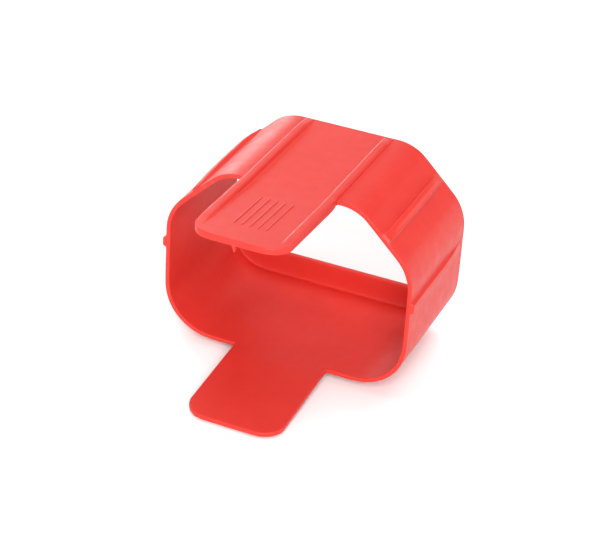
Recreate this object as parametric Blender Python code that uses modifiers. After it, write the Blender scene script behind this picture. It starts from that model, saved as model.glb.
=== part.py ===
"""Retention collar for a rectangular power plug: a thin one-piece plastic sleeve with two finger tabs.

The sleeve's bore runs along Y, the tabs leave its front rim toward -Y, and +Z is up.
The moulding is split only at the two lines where it bends, the roots of the tabs.
"""
import math

import bmesh
import bpy
from mathutils import Matrix, Vector

MM = 0.001

# Sleeve
WIDTH = 29.2 * MM             # outside, wall to wall
HEIGHT = 21.7 * MM            # outside, bottom to top
DEPTH = 16.6 * MM             # front rim to back rim
WALL = 0.5 * MM
BOTTOM_RADIUS = 5.9 * MM      # outside radius of the two lower corners
CHAMFER_DROP = 6.5 * MM       # from the top down to where a wall turns in
CHAMFER_RUN = 6.7 * MM        # from a wall in to where the top panel begins
SHOULDER_RADIUS = 5.0 * MM    # outside radius between a wall and its chamfer
CROWN_RADIUS = 4.3 * MM       # outside radius between a chamfer and the top panel
LIP_HEIGHT = 3.2 * MM         # stop lip across the back, above the inner floor
LIP_THICKNESS = 0.6 * MM
LIP_SETBACK = 0.1 * MM        # from the back rim in to the lip's back face

# Crush ribs along the outside
RIB_WIDTH = 1.05 * MM
WALL_RIB_WIDTH = 1.3 * MM
RIB_HEIGHT = 0.4 * MM
RIB_ROUND = 0.15 * MM
RIB_FRONT_STOP = 0.45 * MM    # bare length between a chamfer's rib and the front rim
RIB_BACK_STOP = 1.0 * MM      # bare length between a side rib and the back rim
RIB_TOP_STOP = 0.3 * MM       # bare length between a top rib and the back rim
WALL_RIB_DROP = 4.15 * MM     # from where a wall turns in down to the middle of its rib
SHOULDER_RIB_SHARE = 0.48     # a chamfer's rib, as a share of the way down the chamfer

# Finger tabs
UPPER_TAB_WIDTH = 10.8 * MM
LOWER_TAB_WIDTH = 11.2 * MM
UPPER_TAB_LENGTH = 13.8 * MM  # from the front rim
LOWER_TAB_LENGTH = 13.4 * MM  # from the front rim
UPPER_TAB_FLARE = math.radians(2.6)
LOWER_TAB_FLARE = math.radians(3.9)
TAB_THICKNESS = 0.75 * MM
TAB_TIP_RADIUS = 2.5 * MM
TAB_RIB_INSET = 0.1 * MM      # from a tab's side in to its rib
TAB_RIB_STOP = 2.4 * MM       # bare length at the tip
BEND_GAP = 0.3 * MM           # clearance at each root

# Catch tooth under the upper tab
TOOTH_WIDTH = 0.6 * MM
TOOTH_LENGTH = 1.8 * MM
TOOTH_DEPTH = 1.2 * MM
TOOTH_SETBACK = 0.4 * MM

ARC_STEPS = 6
OVERRUN = 1.0 * MM            # how far a trimmed or cutting shape runs past the faces it meets

RED = (0.78, 0.045, 0.025, 1.0)

# Places worked out from the sizes
HINGE_OFFSET = BEND_GAP / 2
UPPER_TIP = UPPER_TAB_LENGTH - HINGE_OFFSET       # from the bend axis
LOWER_TIP = LOWER_TAB_LENGTH - HINGE_OFFSET
TAB_REACH = HINGE_OFFSET + UPPER_TIP * math.cos(UPPER_TAB_FLARE)
TAB_REACH += TAB_THICKNESS / 2 * math.sin(UPPER_TAB_FLARE)
RIM_Y = (TAB_REACH - DEPTH) / 2                   # front rim, with the whole part centred on Y
LOWER_HINGE_RISE = WALL - TAB_THICKNESS / 2       # above the sleeve's underside
BASE_Z = LOWER_TIP * math.sin(LOWER_TAB_FLARE) - LOWER_HINGE_RISE
BASE_Z += TAB_THICKNESS / 2 * math.cos(LOWER_TAB_FLARE)
HINGE_Y = RIM_Y - HINGE_OFFSET
UPPER_HINGE_Z = BASE_Z + HEIGHT - TAB_THICKNESS / 2
LOWER_HINGE_Z = BASE_Z + LOWER_HINGE_RISE
RIB_X = UPPER_TAB_WIDTH / 2 - TAB_RIB_INSET - RIB_WIDTH / 2
RIB_SINK = WALL / 2                               # how deep a rib is rooted in its wall


def clear_scene():
    for item in list(bpy.data.objects):
        bpy.data.objects.remove(item, do_unlink=True)


def new_collection(name):
    collection = bpy.data.collections.new(name)
    bpy.context.scene.collection.children.link(collection)
    return collection


def red_plastic():
    material = bpy.data.materials.new("red_polypropylene")
    material.use_nodes = True
    shader = material.node_tree.nodes["Principled BSDF"]
    shader.inputs["Base Color"].default_value = RED
    shader.inputs["Roughness"].default_value = 0.38
    shader.inputs["Metallic"].default_value = 0.0
    return material


def link(mesh, name, collection):
    item = bpy.data.objects.new(name, mesh)
    collection.objects.link(item)
    return item


def rounded_outline(corners, steps=ARC_STEPS):
    """Closed outline through corners given as (point, radius), each turned by an arc."""
    outline = []
    for index, (corner, radius) in enumerate(corners):
        before = (corners[index - 1][0] - corner).normalized()
        after = (corners[(index + 1) % len(corners)][0] - corner).normalized()
        if radius <= 0:
            outline.append(corner)
            continue
        half = before.angle(after) / 2
        centre = corner + (before + after).normalized() * (radius / math.sin(half))
        start = corner + before * (radius / math.tan(half)) - centre
        turn = start.angle_signed(corner + after * (radius / math.tan(half)) - centre)
        for step in range(steps + 1):
            outline.append(centre + Matrix.Rotation(-turn * step / steps, 2) @ start)
    return outline


def sleeve_outline(inset):
    """Cross-section of the sleeve in (x, z), this far inside its outer face."""
    side = WIDTH / 2 - inset
    top = HEIGHT - inset
    slope = math.atan2(CHAMFER_DROP, CHAMFER_RUN)
    wall_turn = math.tan((math.pi / 2 - slope) / 2)
    top_turn = math.tan(slope / 2)
    shoulder_z = HEIGHT - CHAMFER_DROP - inset * wall_turn
    panel_x = WIDTH / 2 - CHAMFER_RUN - inset * top_turn
    bottom = BOTTOM_RADIUS - inset
    shoulder = SHOULDER_RADIUS - inset
    crown = CROWN_RADIUS - inset
    corners = [
        (Vector((-side, inset)), bottom),
        (Vector((side, inset)), bottom),
        (Vector((side, shoulder_z)), shoulder),
        (Vector((panel_x, top)), crown),
        (Vector((-panel_x, top)), crown),
        (Vector((-side, shoulder_z)), shoulder),
    ]
    return rounded_outline(corners)


def tab_outline(width, tip):
    """Plan of a tab in (x, y), with its tip this far from its bend axis."""
    side = width / 2
    root = -HINGE_OFFSET
    corners = [
        (Vector((-side, root)), 0),
        (Vector((-side, -tip)), TAB_TIP_RADIUS),
        (Vector((side, -tip)), TAB_TIP_RADIUS),
        (Vector((side, root)), 0),
    ]
    return rounded_outline(corners)


def extruded(name, outlines, thickness, collection):
    """Mesh object from flat outlines: the first is the edge and any others are holes."""
    curve = bpy.data.curves.new(name, "CURVE")
    curve.dimensions = "2D"
    curve.fill_mode = "BOTH"
    curve.extrude = thickness / 2
    for outline in outlines:
        spline = curve.splines.new("POLY")
        spline.points.add(len(outline) - 1)
        spline.use_cyclic_u = True
        for point, place in zip(spline.points, outline):
            point.co = (place.x, place.y, 0, 1)
    guide = link(curve, name + "_outline", collection)
    depsgraph = bpy.context.evaluated_depsgraph_get()
    mesh = bpy.data.meshes.new_from_object(guide.evaluated_get(depsgraph))
    bpy.data.objects.remove(guide, do_unlink=True)
    bpy.data.curves.remove(curve)
    shape = bmesh.new()
    shape.from_mesh(mesh)
    bmesh.ops.remove_doubles(shape, verts=shape.verts, dist=1e-7)
    bmesh.ops.recalc_face_normals(shape, faces=shape.faces)
    shape.to_mesh(mesh)
    shape.free()
    return link(mesh, name, collection)


def box(name, size, collection, rounding=0.0):
    bpy.ops.mesh.primitive_cube_add(size=1)
    item = bpy.context.active_object
    item.name = name
    item.data.transform(Matrix.Diagonal((*size, 1)))
    for owner in list(item.users_collection):
        owner.objects.unlink(item)
    collection.objects.link(item)
    if rounding:
        bevel = item.modifiers.new("rounding", "BEVEL")
        bevel.width = rounding
        bevel.segments = 2
    return item


def rib(name, width, ends, place, lean, collection):
    """Rib between two y ends on the surface at place, facing this far from +Z toward +X."""
    length = ends[1] - ends[0]
    item = box(name, (width, length, RIB_HEIGHT + RIB_SINK), collection, RIB_ROUND)
    outward = Vector((math.sin(lean), 0, math.cos(lean)))
    middle = Vector((place[0], (ends[0] + ends[1]) / 2, place[1]))
    item.location = middle + outward * (RIB_HEIGHT - RIB_SINK) / 2
    item.rotation_euler.y = lean
    return item


def combine(target, tool, operation):
    step = target.modifiers.new(tool.name, "BOOLEAN")
    step.operation = operation
    step.solver = "EXACT"
    step.object = tool
    tool.hide_render = True
    tool.display_type = "WIRE"


def standing(item):
    """Turn a section drawn in (x, y) to stand in (x, z), so that it is extruded along Y."""
    item.rotation_euler.x = math.pi / 2
    return item


def collar_ribs(tools):
    """The six ribs outside the sleeve: two on top, one on each chamfer and one on each wall."""
    ribs = []
    back = RIM_Y + DEPTH
    over_front = RIM_Y - OVERRUN
    top_ends = (over_front, back - RIB_TOP_STOP)
    shoulder_ends = (RIM_Y + RIB_FRONT_STOP, back - RIB_BACK_STOP)
    wall_ends = (over_front, back - RIB_BACK_STOP)
    shoulder_x = WIDTH / 2 - CHAMFER_RUN * (1 - SHOULDER_RIB_SHARE)
    shoulder_z = BASE_Z + HEIGHT - CHAMFER_DROP * SHOULDER_RIB_SHARE
    lean = math.atan2(CHAMFER_DROP, CHAMFER_RUN)
    wall_rib_z = BASE_Z + HEIGHT - CHAMFER_DROP - WALL_RIB_DROP
    for side, word in ((-1, "left"), (1, "right")):
        top_place = (side * RIB_X, BASE_Z + HEIGHT)
        shoulder_place = (side * shoulder_x, shoulder_z)
        wall_place = (side * WIDTH / 2, wall_rib_z)
        ribs.append(rib("top_rib_" + word, RIB_WIDTH, top_ends, top_place, 0, tools))
        ribs.append(
            rib("shoulder_rib_" + word, RIB_WIDTH, shoulder_ends, shoulder_place, side * lean, tools)
        )
        ribs.append(
            rib("wall_rib_" + word, WALL_RIB_WIDTH, wall_ends, wall_place, side * math.pi / 2, tools)
        )
    return ribs


def stop_lip(tools):
    """Low wall across the lower part of the back opening, rooted in the sleeve's wall."""
    lip = standing(extruded("stop_lip", [sleeve_outline(WALL / 2)], LIP_THICKNESS, tools))
    lip.location = (0, RIM_Y + DEPTH - LIP_SETBACK - LIP_THICKNESS / 2, BASE_Z)
    lip_top = BASE_Z + WALL + LIP_HEIGHT
    opening = box("lip_opening", (WIDTH + OVERRUN, LIP_THICKNESS + OVERRUN, HEIGHT), tools)
    opening.location = (0, lip.location.y, lip_top + HEIGHT / 2)
    combine(lip, opening, "DIFFERENCE")
    return lip


def build_collar(parts, tools):
    length = DEPTH + OVERRUN
    collar = standing(extruded("collar", [sleeve_outline(0), sleeve_outline(WALL)], length, parts))
    collar.location = (0, RIM_Y - OVERRUN + length / 2, BASE_Z)
    for piece in collar_ribs(tools):
        combine(collar, piece, "UNION")
    combine(collar, stop_lip(tools), "UNION")
    trim = box("front_trim", (2 * WIDTH, 3 * OVERRUN, 2 * HEIGHT), tools)
    trim.location = (0, RIM_Y - 1.5 * OVERRUN, BASE_Z + HEIGHT / 2)
    combine(collar, trim, "DIFFERENCE")
    return collar


def tab_ribs(tools):
    """The top panel's two ribs carried on along the sides of the upper tab."""
    ribs = []
    ends = (TAB_RIB_STOP - UPPER_TIP, OVERRUN - HINGE_OFFSET)
    for side, word in ((-1, "left"), (1, "right")):
        place = (side * RIB_X, TAB_THICKNESS / 2)
        ribs.append(rib("tab_rib_" + word, RIB_WIDTH, ends, place, 0, tools))
    return ribs


def catch_tooth(tools):
    """Small pointed tooth under the tip of the upper tab."""
    sink = TAB_THICKNESS / 2
    depth = TOOTH_DEPTH + sink
    bpy.ops.mesh.primitive_cone_add(vertices=4, radius1=math.sqrt(0.5), radius2=0, depth=depth)
    tooth = bpy.context.active_object
    tooth.name = "catch_tooth"
    for owner in list(tooth.users_collection):
        owner.objects.unlink(tooth)
    tools.objects.link(tooth)
    base_share = depth / TOOTH_DEPTH
    square = Matrix.Rotation(math.pi / 4, 4, "Z")
    stretch = Matrix.Diagonal((TOOTH_WIDTH * base_share, TOOTH_LENGTH * base_share, -1, 1))
    tooth.data.transform(stretch @ square)
    tooth.data.flip_normals()
    tooth.location = (0, TOOTH_SETBACK + TOOTH_LENGTH / 2 - UPPER_TIP, -depth / 2)
    return tooth


def build_tab(name, width, tip, height, flare, parts):
    """Flat tab whose origin is on its bend axis."""
    tab = extruded(name, [tab_outline(width, tip)], TAB_THICKNESS, parts)
    tab.location = (0, HINGE_Y, height)
    tab.rotation_euler.x = flare
    return tab


def build_upper_tab(parts, tools):
    name = "upper_finger_tab"
    tab = build_tab(name, UPPER_TAB_WIDTH, UPPER_TIP, UPPER_HINGE_Z, -UPPER_TAB_FLARE, parts)
    trim = box("root_trim", (2 * UPPER_TAB_WIDTH, 3 * OVERRUN, 4 * TAB_THICKNESS), tools)
    trim.location = (0, 1.5 * OVERRUN - HINGE_OFFSET, 0)
    pieces = tab_ribs(tools)
    for piece in pieces:
        combine(piece, trim, "DIFFERENCE")
        combine(tab, piece, "UNION")
    tooth = catch_tooth(tools)
    combine(tab, tooth, "UNION")
    for helper in (*pieces, trim, tooth):
        helper.parent = tab
    return tab


def build_lower_tab(parts):
    name = "lower_finger_tab"
    return build_tab(name, LOWER_TAB_WIDTH, LOWER_TIP, LOWER_HINGE_Z, LOWER_TAB_FLARE, parts)


def build_part():
    clear_scene()
    parts = new_collection("plug_retention_collar")
    tools = new_collection("cutters_and_roots")
    plastic = red_plastic()
    nodes = [
        build_collar(parts, tools),
        build_upper_tab(parts, tools),
        build_lower_tab(parts),
    ]
    for node in nodes:
        node.data.materials.clear()
        node.data.materials.append(plastic)


build_part()
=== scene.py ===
"""Plug retention collar: a thin red sleeve with crush ribs, a stop lip and two finger tabs."""
import math

import bmesh
import bpy
from mathutils import Matrix, Vector
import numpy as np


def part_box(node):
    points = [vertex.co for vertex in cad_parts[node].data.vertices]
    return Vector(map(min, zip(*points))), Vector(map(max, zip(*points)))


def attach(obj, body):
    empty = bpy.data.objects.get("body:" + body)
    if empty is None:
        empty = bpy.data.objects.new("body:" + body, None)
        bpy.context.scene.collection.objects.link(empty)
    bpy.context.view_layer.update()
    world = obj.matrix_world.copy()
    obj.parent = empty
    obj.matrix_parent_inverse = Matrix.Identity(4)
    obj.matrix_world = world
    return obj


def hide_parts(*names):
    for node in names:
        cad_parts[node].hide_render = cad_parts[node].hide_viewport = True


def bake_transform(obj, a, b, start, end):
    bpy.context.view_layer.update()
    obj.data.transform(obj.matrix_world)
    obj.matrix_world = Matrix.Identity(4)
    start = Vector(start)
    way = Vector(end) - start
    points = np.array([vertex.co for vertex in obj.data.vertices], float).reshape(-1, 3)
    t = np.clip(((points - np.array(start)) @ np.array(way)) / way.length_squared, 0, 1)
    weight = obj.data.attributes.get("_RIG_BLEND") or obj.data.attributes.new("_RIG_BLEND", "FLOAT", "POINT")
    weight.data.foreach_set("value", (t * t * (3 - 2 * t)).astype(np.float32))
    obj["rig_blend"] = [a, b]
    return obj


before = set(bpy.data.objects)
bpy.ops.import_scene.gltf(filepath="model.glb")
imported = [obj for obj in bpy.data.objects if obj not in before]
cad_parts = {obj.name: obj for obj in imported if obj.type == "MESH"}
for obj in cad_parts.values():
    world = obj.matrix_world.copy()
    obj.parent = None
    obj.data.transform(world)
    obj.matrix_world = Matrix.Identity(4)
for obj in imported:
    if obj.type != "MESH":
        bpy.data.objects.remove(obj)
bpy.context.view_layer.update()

# The moulding is shaped in millimetres, with its front rim at y = 0 and its underside at z = 0.
MM = 0.001
TINY = 0.002                  # how closely two places have to agree to count as one

# Sleeve
HALF_WIDTH = 14.6
HEIGHT = 21.7
DEPTH = 16.6
WALL = 0.5
BOTTOM_RADIUS = 5.9
SHOULDER_RADIUS = 5.0
CROWN_RADIUS = 4.3
PANEL_HALF = 7.9              # middle of the top panel to its corner with a chamfer
SHOULDER_Z = 15.2             # corner between a wall and its chamfer
BACK_THICKENING = 0.4         # how much the walls and floor gain inward toward the back rim
RIM_SUPPORT = 0.09            # how far in from a rim its edge rounding ends

# Stop lip across the back opening
LIP_TOP = 3.7
LIP_FRONT = 15.9
LIP_BACK = 16.5

# Crush ribs
RIB_HEIGHT = 0.4
SHOULDER_RIB_HEIGHT = 0.58    # the chamfer ribs stand prouder than the others
RIB_FLANK = 0.08              # run of a rib's side from its foot to its edge
RIB_EDGE_SHARE = 0.86         # height of a rib's edge, as a share of its middle
RIB_END = 0.2                 # length at a rib's end that is lower by the same share
TOP_RIB = (4.3, 5.4)          # feet of a top rib, from the middle of the panel
WALL_RIB = (10.4, 11.7)       # feet of a wall rib, above the underside
SHOULDER_RIB = (3.85, 5.1)    # feet of a chamfer's rib, down from the chamfer's upper corner
TOP_RIB_BACK = 16.3
SIDE_RIB_BACK = 15.6
SHOULDER_RIB_FRONT = 0.2
SHOULDER_RIB_BACK = 16.3

# Finger tabs
UPPER_HALF = 5.4
LOWER_HALF = 5.6
UPPER_LENGTH = 13.8
LOWER_LENGTH = 13.4
UPPER_FLARE = math.radians(2.6)
LOWER_FLARE = math.radians(3.9)
TIP_RADIUS = 2.5
UPPER_THICKENING = 0.25       # how much thicker a tab is than the wall it grows from
LOWER_THICKENING = 0.03
ROOT_FILLET = 0.18            # at the inner corners between a tab and the rim
SEAM_Y = -0.9                 # where the fixed root stub ends and the bending tab begins
BEND_END = -2.6
HINGE_Y = -0.15               # line that each tab bends about
FLARE_SPREAD = 2.5            # length of root over which a tab turns to its flare

# Fine raised grip lines on top of the upper tab
GRIP_LINES = (-1.8, -0.9, 0.0, 0.9, 1.8)
GRIP_START = -3.4
GRIP_END = -10.2
GRIP_WIDTH = 0.26
GRIP_HEIGHT = 0.06
GRIP_ROOT = 0.1               # depth that a grip line reaches into the tab

# Catch tooth under the upper tab
TOOTH_X = (-0.75, -0.15)
TOOTH_DEPTH = 1.25

collar_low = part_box("collar")[0]
RIM = Vector((0.0, collar_low.y, collar_low.z))    # the front rim's lowest middle point
PLACE = Matrix.Translation(RIM) @ Matrix.Scale(MM, 4)


def place(x, y, z):
    """Point of the object for a point of the moulding in millimetres."""
    return PLACE @ Vector((x, y, z))


# ---------------------------------------------------------------- skin of the sleeve

CHAMFER_RUN = Vector((HALF_WIDTH - PANEL_HALF, 0.0, SHOULDER_Z - HEIGHT)).normalized()
CHAMFER_OUT = Vector((-CHAMFER_RUN.z, 0.0, CHAMFER_RUN.x))

# Each flat panel of the right half: where its columns count from, then across and outward
TOP = (Vector((0, 0, HEIGHT)), Vector((1, 0, 0)), Vector((0, 0, 1)))
BOTTOM = (Vector((0, 0, 0)), Vector((1, 0, 0)), Vector((0, 0, -1)))
SIDE = (Vector((HALF_WIDTH, 0, 0)), Vector((0, 0, 1)), Vector((1, 0, 0)))
CHAMFER = (Vector((PANEL_HALF, 0, HEIGHT)), CHAMFER_RUN, CHAMFER_OUT)


def rib_columns(feet):
    """Positions across a panel of the lines that give a rib its feet, edges and flat."""
    low, high = feet
    middle = (low + high) / 2
    steps = (-0.12, 0.0, RIB_FLANK, 0.25)
    return [low + step for step in steps] + [middle] + [high - step for step in reversed(steps)]


def fillet_columns(half):
    return [half + step * ROOT_FILLET for step in (0.1, 0.35, 0.65, 1.0)]


TOP_COLUMNS = [1.4, 2.2, 2.9, 3.6] + rib_columns(TOP_RIB)[:-1] + fillet_columns(UPPER_HALF)
BOTTOM_COLUMNS = [1.4, 2.4, 3.1, 3.8, 4.5, 5.0, 5.3, LOWER_HALF - 0.12, LOWER_HALF]
BOTTOM_COLUMNS += fillet_columns(LOWER_HALF) + [7.4]
PANEL_CUTS = (
    (TOP, TOP_COLUMNS),
    (BOTTOM, BOTTOM_COLUMNS),
    (SIDE, rib_columns(WALL_RIB) + [8.0]),
    (CHAMFER, rib_columns(SHOULDER_RIB)),
)
SLEEVE_ROWS = (RIM_SUPPORT, SHOULDER_RIB_FRONT, 0.4, 0.7, 1.3)
SLEEVE_ROWS += (4.5, 8.0, 11.5, 13.4, 14.4, 15.2)
SLEEVE_ROWS += (SIDE_RIB_BACK - 0.15, SIDE_RIB_BACK, LIP_FRONT, TOP_RIB_BACK - 0.15)
SLEEVE_ROWS += (TOP_RIB_BACK, LIP_BACK)


def slice_faces(cage, faces, point, normal):
    """Cut these faces along a plane, leaving both sides."""
    verts = {vert for face in faces for vert in face.verts}
    edges = {edge for face in faces for edge in face.edges}
    geometry = list(verts) + list(edges) + list(faces)
    bmesh.ops.bisect_plane(cage, geom=geometry, dist=1e-5, plane_co=point, plane_no=normal)


def turn_out(cage):
    """Make the open skin's faces point away from the bore."""
    bmesh.ops.recalc_face_normals(cage, faces=cage.faces)
    top = max(cage.faces, key=lambda face: face.calc_center_median().z)
    if top.normal.z < 0:
        bmesh.ops.reverse_faces(cage, faces=cage.faces)


def half_skin():
    """Right half of the sleeve's outer skin, corners rounded and panels cut into columns."""
    cage = bmesh.new()
    corners = ((0, 0), (HALF_WIDTH, 0), (HALF_WIDTH, SHOULDER_Z), (PANEL_HALF, HEIGHT), (0, HEIGHT))
    verts = [cage.verts.new((x, 0, z)) for x, z in corners]
    for first, second in zip(verts, verts[1:]):
        cage.edges.new((first, second))
    grown = bmesh.ops.extrude_edge_only(cage, edges=cage.edges[:])["geom"]
    moved = [item for item in grown if isinstance(item, bmesh.types.BMVert)]
    bmesh.ops.translate(cage, verts=moved, vec=(0, DEPTH, 0))
    slope = math.atan2(-CHAMFER_RUN.z, CHAMFER_RUN.x)
    roundings = (
        (corners[1], BOTTOM_RADIUS, math.pi / 2, 8),
        (corners[2], SHOULDER_RADIUS, math.pi / 2 - slope, 5),
        (corners[3], CROWN_RADIUS, slope, 5),
    )
    for (x, z), radius, turn, segments in roundings:
        edges = [
            edge for edge in cage.edges
            if all(abs(vert.co.x - x) < TINY and abs(vert.co.z - z) < TINY for vert in edge.verts)
        ]
        bmesh.ops.bevel(
            cage, geom=edges, offset=radius * math.tan(turn / 2), offset_type="OFFSET",
            segments=segments, profile=0.5, affect="EDGES", material=-1,
        )
    turn_out(cage)
    for (origin, across, outward), columns in PANEL_CUTS:
        for column in columns:
            faces = [face for face in cage.faces if face.normal.dot(outward) > 0.99999]
            slice_faces(cage, faces, origin + across * column, across)
    return cage


def sleeve_cage():
    """Whole sleeve with its wall, cut into columns and rows."""
    cage = half_skin()
    everything = cage.verts[:] + cage.edges[:] + cage.faces[:]
    bmesh.ops.mirror(cage, geom=everything, merge_dist=TINY, axis="X")
    turn_out(cage)
    outer_skin = [vert.co.copy() for vert in cage.verts]
    bmesh.ops.solidify(cage, geom=cage.faces[:], thickness=WALL)
    bmesh.ops.recalc_face_normals(cage, faces=cage.faces)
    bore = cage.verts.layers.float.new("bore")
    for vert in cage.verts:
        nearest = min((vert.co - spot).length for spot in outer_skin)
        vert[bore] = float(nearest > WALL / 2)
    for row in SLEEVE_ROWS:
        slice_faces(cage, cage.faces[:], (0, row, 0), (0, 1, 0))
    return cage


def taper_bore(cage, bore):
    """Draw the bore's walls, chamfers and floor inward toward the back rim, as its draft."""
    for vert in cage.verts:
        if vert[bore] < 0.5 or vert.co.y < TINY:
            continue
        reach = BACK_THICKENING * vert.co.y / DEPTH
        side = math.copysign(1, vert.co.x)
        wall = smooth_step(abs(vert.co.x), HALF_WIDTH - BOTTOM_RADIUS, HALF_WIDTH - WALL)
        chamfer = smooth_step(vert.co.z, SHOULDER_Z - 2, SHOULDER_Z + 1)
        slope = smooth_step(abs(vert.co.x), PANEL_HALF - 2, PANEL_HALF)
        inward = CHAMFER_OUT * Vector((side, 1, 1)) * slope * chamfer
        inward.x += side * wall * (1 - chamfer)
        if vert.co.z < LIP_TOP - TINY:
            inward.z -= 1 - wall
        vert.co -= inward * reach


# ---------------------------------------------------------------- tabs

# Rows of a tab, by their distance from the rim and then from the tip
TAB_ROWS = (0.45, 0.9, 1.3, 1.8, 2.6, 3.6, 4.8, 6.4, 8.0, 9.2)
TIP_ROWS = (3.6, 3.0, 2.4, 1.8, 1.2, 0.6, 0.15)


def draw_out(cage, faces):
    """Extrude these faces, remove the ones left inside, and give back the new end's points."""
    grown = bmesh.ops.extrude_face_region(cage, geom=faces)["geom"]
    end = [item for item in grown if isinstance(item, bmesh.types.BMVert)]
    bmesh.ops.delete(cage, geom=faces, context="FACES")
    return end


def pull_tab(cage, half, level, length):
    """Draw a tab out of the front rim at this level, and cut it into rows."""
    rim = [
        face for face in cage.faces
        if face.normal.y < -0.9 and abs(face.calc_center_median().y) < TINY
        and abs(face.calc_center_median().x) < half
        and abs(face.calc_center_median().z - level) < WALL
    ]
    tip = draw_out(cage, rim)
    bmesh.ops.translate(cage, verts=tip, vec=(0, -length, 0))
    for row in TAB_ROWS + tuple(length - short for short in TIP_ROWS):
        faces = [
            face for face in cage.faces
            if face.calc_center_median().y < -TINY and abs(face.calc_center_median().z - level) < 2
        ]
        slice_faces(cage, faces, (0, -row, 0), (0, 1, 0))


def smooth_step(value, start, end):
    share = min(1.0, max(0.0, (value - start) / (end - start)))
    return share * share * (3 - 2 * share)


def root_reach(across, half):
    """How far the rim is drawn forward beside a tab, for the fillet in its inner corner."""
    if across <= half + TINY:
        return ROOT_FILLET
    gap = min(across - half, ROOT_FILLET) / ROOT_FILLET
    return ROOT_FILLET * (1 - math.sqrt(1 - (1 - gap) ** 2))


def flare_rise(point):
    """How far a point of a tab has left its panel's level; the bend is spread along the root."""
    distance = -point.y
    if distance <= 0:
        return 0.0
    above = point.z > HEIGHT / 2
    length, flare = (UPPER_LENGTH, UPPER_FLARE) if above else (LOWER_LENGTH, -LOWER_FLARE)
    tip_rise = (length + HINGE_Y) * math.sin(flare)
    if distance < FLARE_SPREAD:
        run = distance ** 2 / (2 * FLARE_SPREAD)
    else:
        run = distance - FLARE_SPREAD / 2
    return tip_rise * run / (length - FLARE_SPREAD / 2)


def shape_tab(cage, half, length, level_low, level_high, thickening):
    """Thicken a tab below, round its tip and fillet its root."""
    verts = [
        vert for vert in cage.verts
        if level_low - TINY < vert.co.z < level_high + RIB_HEIGHT + TINY
        and vert.co.y < RIM_SUPPORT + TINY and abs(vert.co.x) < half + ROOT_FILLET + TINY
    ]
    tab = [vert for vert in verts if vert.co.y < -TINY]
    root = [vert for vert in verts if vert.co.y > -TINY]
    blunt = length - TIP_ROWS[0]
    for vert in tab:
        distance = -vert.co.y
        across = abs(vert.co.x)
        if vert.co.z < level_low + TINY:
            vert.co.z -= thickening * smooth_step(distance, 0.0, 0.9)
        if distance > blunt and across > half - TIP_RADIUS:
            inside = across - (half - TIP_RADIUS)
            tip = length - TIP_RADIUS + math.sqrt(max(0.0, TIP_RADIUS ** 2 - inside ** 2))
            share = (distance - blunt) / (length - blunt)
            vert.co.y = -(blunt + share * (tip - blunt))
    for vert in root:
        vert.co.y -= root_reach(abs(vert.co.x), half)


# ---------------------------------------------------------------- ribs, tooth and lip

def raise_rib(cage, panel, feet, side, height, front, back, fade):
    """Lift the columns between a rib's feet off the panel on one side, 1 or -1, of the sleeve."""
    origin, across, outward = panel
    flip = Vector((side, 1, 1))
    origin, across, outward = origin * flip, across * flip, outward * flip
    low, high = feet
    for vert in cage.verts:
        if abs((vert.co - origin).dot(outward)) > TINY or vert.co.x * side < 0:
            continue
        position = (vert.co - origin).dot(across)
        y = vert.co.y
        on_side_face = y < -TINY and abs(position - high) < TINY
        inside = low + TINY < position < high - TINY
        if not (inside or on_side_face) or not front - TINY < y < back - TINY:
            continue
        edge = min(position - low, high - position) < RIB_FLANK + TINY
        share = RIB_EDGE_SHARE if edge else 1.0
        if y - front < RIB_END and front > 0 or back - y < RIB_END:
            share *= RIB_EDGE_SHARE
        vert.co += outward * height * share * fade(y)


def side_fade(y):
    """A rib on a wall or chamfer thins out toward the back rim."""
    return 1 - 0.8 * smooth_step(y, SIDE_RIB_BACK - 4.5, SIDE_RIB_BACK)


def shoulder_fade(y):
    """A chamfer's rib grows from the front rim and thins out toward the back rim."""
    growth = 0.55 + 0.45 * smooth_step(y, 0.0, 6.0)
    return growth * (1 - 0.6 * smooth_step(y, 13.0, SHOULDER_RIB_BACK))


def top_fade(y):
    """A top rib runs down to nothing at the back rim, and thins along the tab toward its tip."""
    back = 1 - 0.7 * smooth_step(y, TOP_RIB_BACK - 2.4, TOP_RIB_BACK)
    along = 1 - 0.7 * smooth_step(-y, 0.0, UPPER_LENGTH - 0.5)
    return back * along * smooth_step(y, -UPPER_LENGTH + 1.2, -UPPER_LENGTH + 4.2)


def grow_tooth(cage, crease):
    """Draw the catch tooth down from the underside of the upper tab near its tip."""
    front = -UPPER_LENGTH + 0.6
    back = -UPPER_LENGTH + 2.4
    level = HEIGHT - WALL - UPPER_THICKENING
    foot = [
        face for face in cage.faces
        if TOOTH_X[0] < face.calc_center_median().x < TOOTH_X[1]
        and front < face.calc_center_median().y < back
        and abs(face.calc_center_median().z - level) < 0.1
    ]
    rim = {edge for face in foot for edge in face.edges}
    point = draw_out(cage, foot)
    middle = Vector((sum(TOOTH_X) / 2, front + 0.45, level - TOOTH_DEPTH))
    for vert in point:
        vert.co.x = middle.x + (vert.co.x - middle.x) * 0.12
        vert.co.y = middle.y + (vert.co.y - middle.y) * 0.12
        vert.co.z = middle.z
    for vert in point:
        for edge in vert.link_edges:
            edge[crease] = 0.7
    for edge in rim:
        if edge.is_valid:
            edge[crease] = 0.8


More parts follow.
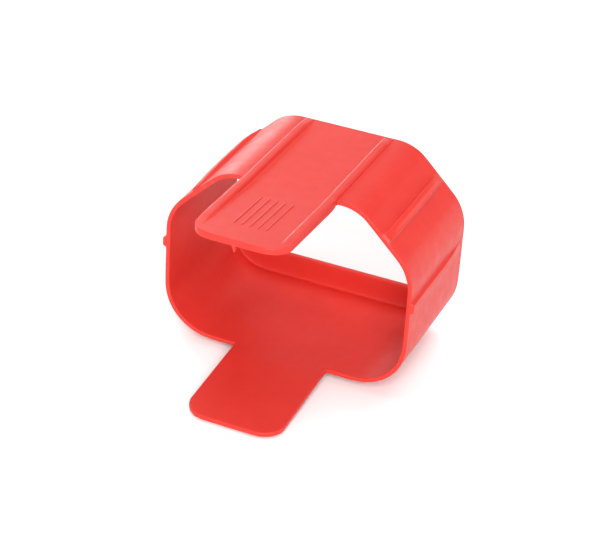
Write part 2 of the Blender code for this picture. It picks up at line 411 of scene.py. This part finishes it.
def add_grip_lines(mesh):
    """Low rounded lines along the upper tab, standing a little above its face."""
    lines = bmesh.new()
    lines.from_mesh(mesh)
    for x in GRIP_LINES:
        made = bmesh.ops.create_cube(lines, size=1.0)["verts"]
        depth = GRIP_HEIGHT + GRIP_ROOT
        bmesh.ops.scale(lines, verts=made, vec=(GRIP_WIDTH, GRIP_START - GRIP_END, depth))
        middle = Vector((x, (GRIP_START + GRIP_END) / 2, HEIGHT + GRIP_HEIGHT - depth / 2))
        bmesh.ops.translate(lines, verts=made, vec=middle)
        edges = {edge for vert in made for edge in vert.link_edges}
        crown = [edge for edge in edges if all(v.co.z > HEIGHT + TINY for v in edge.verts)]
        rounded = bmesh.ops.bevel(
            lines, geom=crown, offset=GRIP_HEIGHT * 0.9, offset_type="OFFSET",
            segments=3, profile=0.5, affect="EDGES", material=-1,
        )
        for vert in set(made) | set(rounded["verts"]):
            if vert.is_valid:
                vert.co.z += flare_rise(vert.co)
    lines.to_mesh(mesh)
    lines.free()


def inner_skin_height(x):
    """Height of the sleeve's inner skin above the underside, over its floor and lower corners."""
    inside = abs(x) - (HALF_WIDTH - BOTTOM_RADIUS)
    if inside <= 0:
        return WALL
    radius = BOTTOM_RADIUS - WALL
    return BOTTOM_RADIUS - math.sqrt(max(0.0, radius ** 2 - inside ** 2))


def grow_lip(cage, crease):
    """Raise a strip of the floor near the back rim into a low wall."""
    def on_floor(vert):
        return abs(vert.co.z - inner_skin_height(vert.co.x)) < 0.03 and vert.co.z < LIP_TOP + 0.2

    strip = [
        face for face in cage.faces
        if LIP_FRONT < face.calc_center_median().y < LIP_BACK
        and all(on_floor(vert) for vert in face.verts)
    ]
    top = draw_out(cage, strip)
    for vert in top:
        vert.co.z = LIP_TOP
    for face in cage.faces:
        if all(vert in top for vert in face.verts):
            for edge in face.edges:
                edge[crease] = 0.35


# ---------------------------------------------------------------- whole moulding

def moulding_mesh():
    """The whole one-piece moulding, smoothed, in millimetres with its front rim at y = 0 and its underside
    at z = 0.
    """
    cage = sleeve_cage()
    pull_tab(cage, UPPER_HALF, HEIGHT - WALL / 2, UPPER_LENGTH)
    pull_tab(cage, LOWER_HALF, WALL / 2, LOWER_LENGTH)
    for x in TOOTH_X:
        upper = [face for face in cage.faces if face.calc_center_median().z > HEIGHT - 1]
        slice_faces(cage, upper, (x, 0, 0), (1, 0, 0))
    for side in (1, -1):
        raise_rib(cage, TOP, TOP_RIB, side, RIB_HEIGHT, -UPPER_LENGTH, TOP_RIB_BACK, top_fade)
        raise_rib(cage, SIDE, WALL_RIB, side, RIB_HEIGHT, -1.0, SIDE_RIB_BACK, side_fade)
        raise_rib(
            cage, CHAMFER, SHOULDER_RIB, side, SHOULDER_RIB_HEIGHT, SHOULDER_RIB_FRONT,
            SHOULDER_RIB_BACK, shoulder_fade,
        )
    crease = cage.edges.layers.float.new("crease_edge")
    grow_lip(cage, crease)
    ceiling = HEIGHT - WALL
    shape_tab(cage, UPPER_HALF, UPPER_LENGTH, ceiling, HEIGHT, UPPER_THICKENING)
    grow_tooth(cage, crease)
    shape_tab(cage, LOWER_HALF, LOWER_LENGTH, 0.0, WALL, LOWER_THICKENING)
    taper_bore(cage, cage.verts.layers.float["bore"])
    for vert in cage.verts:
        vert.co.z += flare_rise(vert.co)
    bmesh.ops.recalc_face_normals(cage, faces=cage.faces)
    rough = bpy.data.meshes.new("moulding_cage")
    cage.to_mesh(rough)
    cage.free()
    guide = bpy.data.objects.new("moulding_cage", rough)
    bpy.context.scene.collection.objects.link(guide)
    smoothing = guide.modifiers.new("smoothing", "SUBSURF")
    smoothing.levels = 2
    smoothing.render_levels = 2
    bpy.context.view_layer.update()
    depsgraph = bpy.context.evaluated_depsgraph_get()
    smooth = bpy.data.meshes.new_from_object(guide.evaluated_get(depsgraph))
    bpy.data.objects.remove(guide, do_unlink=True)
    return smooth


def piece_of(moulding, name, cuts, material):
    """The part of the moulding on the far side of each cutting plane, closed where it is cut."""
    shape = bmesh.new()
    shape.from_mesh(moulding)
    for point, normal in cuts:
        everything = shape.verts[:] + shape.edges[:] + shape.faces[:]
        bmesh.ops.bisect_plane(
            shape, geom=everything, dist=1e-5, plane_co=point, plane_no=normal, clear_inner=True,
        )
    for face in shape.faces:
        face.smooth = True
    open_edges = [edge for edge in shape.edges if edge.is_boundary]
    if open_edges:
        caps = bmesh.ops.holes_fill(shape, edges=open_edges, sides=0)["faces"]
        for cap in caps:
            cap.smooth = False
            for edge in cap.edges:
                edge.smooth = False
    bmesh.ops.recalc_face_normals(shape, faces=shape.faces)
    mesh = bpy.data.meshes.new(name)
    shape.to_mesh(mesh)
    shape.free()
    mesh.materials.append(material)
    piece = bpy.data.objects.new(name, mesh)
    bpy.context.scene.collection.objects.link(piece)
    return piece


# ---------------------------------------------------------------- finish

def node(tree, kind, **settings):
    made = tree.nodes.new(kind)
    for key, value in settings.items():
        setattr(made, key, value)
    return made


def noise(tree, vector, scale, detail, roughness=0.5):
    made = node(tree, "ShaderNodeTexNoise")
    made.inputs["Scale"].default_value = scale
    made.inputs["Detail"].default_value = detail
    made.inputs["Roughness"].default_value = roughness
    tree.links.new(vector, made.inputs["Vector"])
    return made.outputs["Fac"]


def spread(tree, value, low, high):
    """Map a 0 to 1 value to this range."""
    made = node(tree, "ShaderNodeMapRange")
    made.inputs["From Min"].default_value = 0.3
    made.inputs["From Max"].default_value = 0.7
    made.inputs["To Min"].default_value = low
    made.inputs["To Max"].default_value = high
    tree.links.new(value, made.inputs["Value"])
    return made.outputs["Result"]


def red_polypropylene():
    """Satin moulded plastic: clouded red, fine grain, slight sink waviness and a painted highlight on convex
    edges.
    """
    material = bpy.data.materials.new("red_polypropylene")
    material.use_nodes = True
    tree = material.node_tree
    shader = tree.nodes["Principled BSDF"]
    position = node(tree, "ShaderNodeTexCoord").outputs["Object"]
    tint = node(tree, "ShaderNodeMix", data_type="RGBA")
    tint.inputs[6].default_value = (0.565, 0.015, 0.008, 1)
    tint.inputs[7].default_value = (0.62, 0.023, 0.012, 1)
    tree.links.new(noise(tree, position, 260.0, 3.0), tint.inputs[0])
    # Painted highlight: convex edges, found by pointiness, are mixed toward a paler red so the rims read as
    # lit lines.
    painted_edge_highlight_mask = node(tree, "ShaderNodeMapRange")
    painted_edge_highlight_mask.inputs["From Min"].default_value = 0.52
    painted_edge_highlight_mask.inputs["From Max"].default_value = 0.68
    painted_edge_highlight_mask.inputs["To Max"].default_value = 0.35
    tree.links.new(node(tree, "ShaderNodeNewGeometry").outputs["Pointiness"], painted_edge_highlight_mask.inputs["Value"])
    painted_edge_highlight = node(tree, "ShaderNodeMix", data_type="RGBA")
    painted_edge_highlight.inputs[7].default_value = (0.78, 0.10, 0.07, 1)
    tree.links.new(painted_edge_highlight_mask.outputs["Result"], painted_edge_highlight.inputs[0])
    tree.links.new(tint.outputs[2], painted_edge_highlight.inputs[6])
    tree.links.new(painted_edge_highlight.outputs[2], shader.inputs["Base Color"])
    smear = noise(tree, position, 700.0, 4.0)
    bore = node(tree, "ShaderNodeAttribute", attribute_name="bore").outputs["Fac"]
    polish = node(tree, "ShaderNodeMix", data_type="FLOAT")
    tree.links.new(bore, polish.inputs[0])
    tree.links.new(spread(tree, smear, 0.44, 0.54), polish.inputs[2])
    tree.links.new(spread(tree, smear, 0.58, 0.66), polish.inputs[3])
    tree.links.new(polish.outputs[0], shader.inputs["Roughness"])
    waves = node(tree, "ShaderNodeBump")
    waves.inputs["Strength"].default_value = 0.25
    waves.inputs["Distance"].default_value = 0.00012
    tree.links.new(noise(tree, position, 160.0, 1.0), waves.inputs["Height"])
    fine = node(tree, "ShaderNodeBump")
    fine.inputs["Strength"].default_value = 0.14
    fine.inputs["Distance"].default_value = 0.00002
    tree.links.new(noise(tree, position, 9000.0, 2.0), fine.inputs["Height"])
    tree.links.new(waves.outputs["Normal"], fine.inputs["Normal"])
    tree.links.new(fine.outputs["Normal"], shader.inputs["Normal"])
    shader.inputs["IOR"].default_value = 1.49
    shader.inputs["Subsurface Weight"].default_value = 0.15
    shader.inputs["Subsurface Radius"].default_value = (1.0, 0.2, 0.1)
    shader.inputs["Subsurface Scale"].default_value = 0.0008
    return material


def plain_paper():
    material = bpy.data.materials.new("white_paper")
    material.use_nodes = True
    tree = material.node_tree
    shader = tree.nodes["Principled BSDF"]
    position = node(tree, "ShaderNodeTexCoord").outputs["Object"]
    tint = node(tree, "ShaderNodeMix", data_type="RGBA")
    tint.inputs[6].default_value = (0.93, 0.93, 0.93, 1)
    tint.inputs[7].default_value = (0.96, 0.96, 0.96, 1)
    tree.links.new(noise(tree, position, 40.0, 2.0), tint.inputs[0])
    tree.links.new(tint.outputs[2], shader.inputs["Base Color"])
    shader.inputs["Roughness"].default_value = 0.9
    shader.inputs["Specular IOR Level"].default_value = 0.1
    return material


# ---------------------------------------------------------------- studio

VIEW_AZIMUTH = math.radians(21.98)
VIEW_ELEVATION = math.radians(30.61)
VIEW_ROLL = math.radians(3.712)
VIEW_CENTRE = (-0.304, 4.872, 9.290)
VIEW_DISTANCE = 212.6
LENS = 114.6
SOFTBOXES = (                 # name, place in metres, width in metres, power in watts
    ("overhead_softbox", (-0.15, 0.45, 1.70), 2.20, 27.0),
    ("front_softbox", (0.60, -1.45, 1.05), 1.20, 42.0),
    ("left_back_softbox", (-1.30, 1.80, 0.45), 0.80, 11.0),
)
WORLD_GLOW = 0.25
FLOOR_RADIUS = 6.0
BACKDROP_HEIGHT = 1.2


def add_camera():
    back = Vector((
        math.sin(VIEW_AZIMUTH) * math.cos(VIEW_ELEVATION),
        -math.cos(VIEW_AZIMUTH) * math.cos(VIEW_ELEVATION),
        math.sin(VIEW_ELEVATION),
    ))
    level_right = Vector((0, 0, 1)).cross(back).normalized()
    level_up = back.cross(level_right)
    right = level_right * math.cos(VIEW_ROLL) + level_up * math.sin(VIEW_ROLL)
    up = level_up * math.cos(VIEW_ROLL) - level_right * math.sin(VIEW_ROLL)
    turn = Matrix((right, up, back)).transposed().to_4x4()
    camera = bpy.data.cameras.new("camera")
    camera.lens = LENS
    camera.sensor_width = 36.0
    camera.clip_start = 0.01
    item = bpy.data.objects.new("camera", camera)
    item.matrix_world = Matrix.Translation(place(*VIEW_CENTRE) + back * VIEW_DISTANCE * MM) @ turn
    bpy.context.scene.collection.objects.link(item)
    bpy.context.scene.camera = item


def add_light(name, spot, size, power):
    light = bpy.data.lights.new(name, "AREA")
    light.shape = "DISK"
    light.size = size
    light.energy = power
    item = bpy.data.objects.new(name, light)
    item.location = spot
    aim = place(0, DEPTH / 2, HEIGHT / 2)
    item.rotation_euler = (Vector(spot) - aim).to_track_quat("Z", "Y").to_euler()
    bpy.context.scene.collection.objects.link(item)


def add_studio():
    world = bpy.data.worlds.new("studio")
    world.use_nodes = True
    background = world.node_tree.nodes["Background"]
    background.inputs["Color"].default_value = (1, 1, 1, 1)
    background.inputs["Strength"].default_value = WORLD_GLOW
    bpy.context.scene.world = world
    for name, spot, size, power in SOFTBOXES:
        add_light(name, spot, size, power)
    bpy.context.scene.view_settings.view_transform = "Standard"


def add_floor():
    shape = bmesh.new()
    bmesh.ops.create_circle(shape, cap_ends=True, segments=96, radius=FLOOR_RADIUS)
    mesh = bpy.data.meshes.new("paper_floor")
    shape.to_mesh(mesh)
    shape.free()
    mesh.materials.append(plain_paper())
    floor = bpy.data.objects.new("paper_floor", mesh)
    bpy.context.scene.collection.objects.link(floor)


def add_backdrop():
    """Pale glowing wall round the floor's edge, just high enough to close the horizon."""
    glow = bpy.data.materials.new("pale_backdrop")
    glow.use_nodes = True
    shader = glow.node_tree.nodes["Principled BSDF"]
    shader.inputs["Base Color"].default_value = (0.9, 0.9, 0.9, 1)
    shader.inputs["Roughness"].default_value = 0.9
    shader.inputs["Emission Color"].default_value = (1, 1, 1, 1)
    shader.inputs["Emission Strength"].default_value = 0.85
    shape = bmesh.new()
    bmesh.ops.create_circle(shape, cap_ends=False, segments=96, radius=FLOOR_RADIUS)
    grown = bmesh.ops.extrude_edge_only(shape, edges=shape.edges[:])["geom"]
    raised = [item for item in grown if isinstance(item, bmesh.types.BMVert)]
    bmesh.ops.translate(shape, verts=raised, vec=(0, 0, BACKDROP_HEIGHT))
    mesh = bpy.data.meshes.new("pale_backdrop")
    shape.to_mesh(mesh)
    shape.free()
    mesh.materials.append(glow)
    wall = bpy.data.objects.new("pale_backdrop", mesh)
    bpy.context.scene.collection.objects.link(wall)


def main():
    plastic = red_polypropylene()
    moulding = moulding_mesh()
    front = (0, SEAM_Y, 0)
    collar = piece_of(moulding, "ribbed_collar", [(front, (0, 1, 0))], plastic)
    middle = (0, 0, HEIGHT / 2)
    upper = piece_of(
        moulding, "upper_tab_moulding", [(front, (0, -1, 0)), (middle, (0, 0, 1))], plastic,
    )
    lower = piece_of(
        moulding, "lower_tab_moulding", [(front, (0, -1, 0)), (middle, (0, 0, -1))], plastic,
    )
    bpy.data.meshes.remove(moulding)
    add_grip_lines(upper.data)
    for piece in (collar, upper, lower):
        piece.data.transform(PLACE)
    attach(collar, "sleeve")
    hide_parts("collar")
    for piece, body, cad_node, z in (
        (upper, "upper_tab", "upper_finger_tab", HEIGHT),
        (lower, "lower_tab", "lower_finger_tab", 0.0),
    ):
        start = tuple(place(0, SEAM_Y, z))
        end = tuple(place(0, BEND_END, z))
        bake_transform(piece, "sleeve", body, start=start, end=end)
        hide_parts(cad_node)
    add_camera()
    add_floor()
    add_backdrop()
    add_studio()


main()
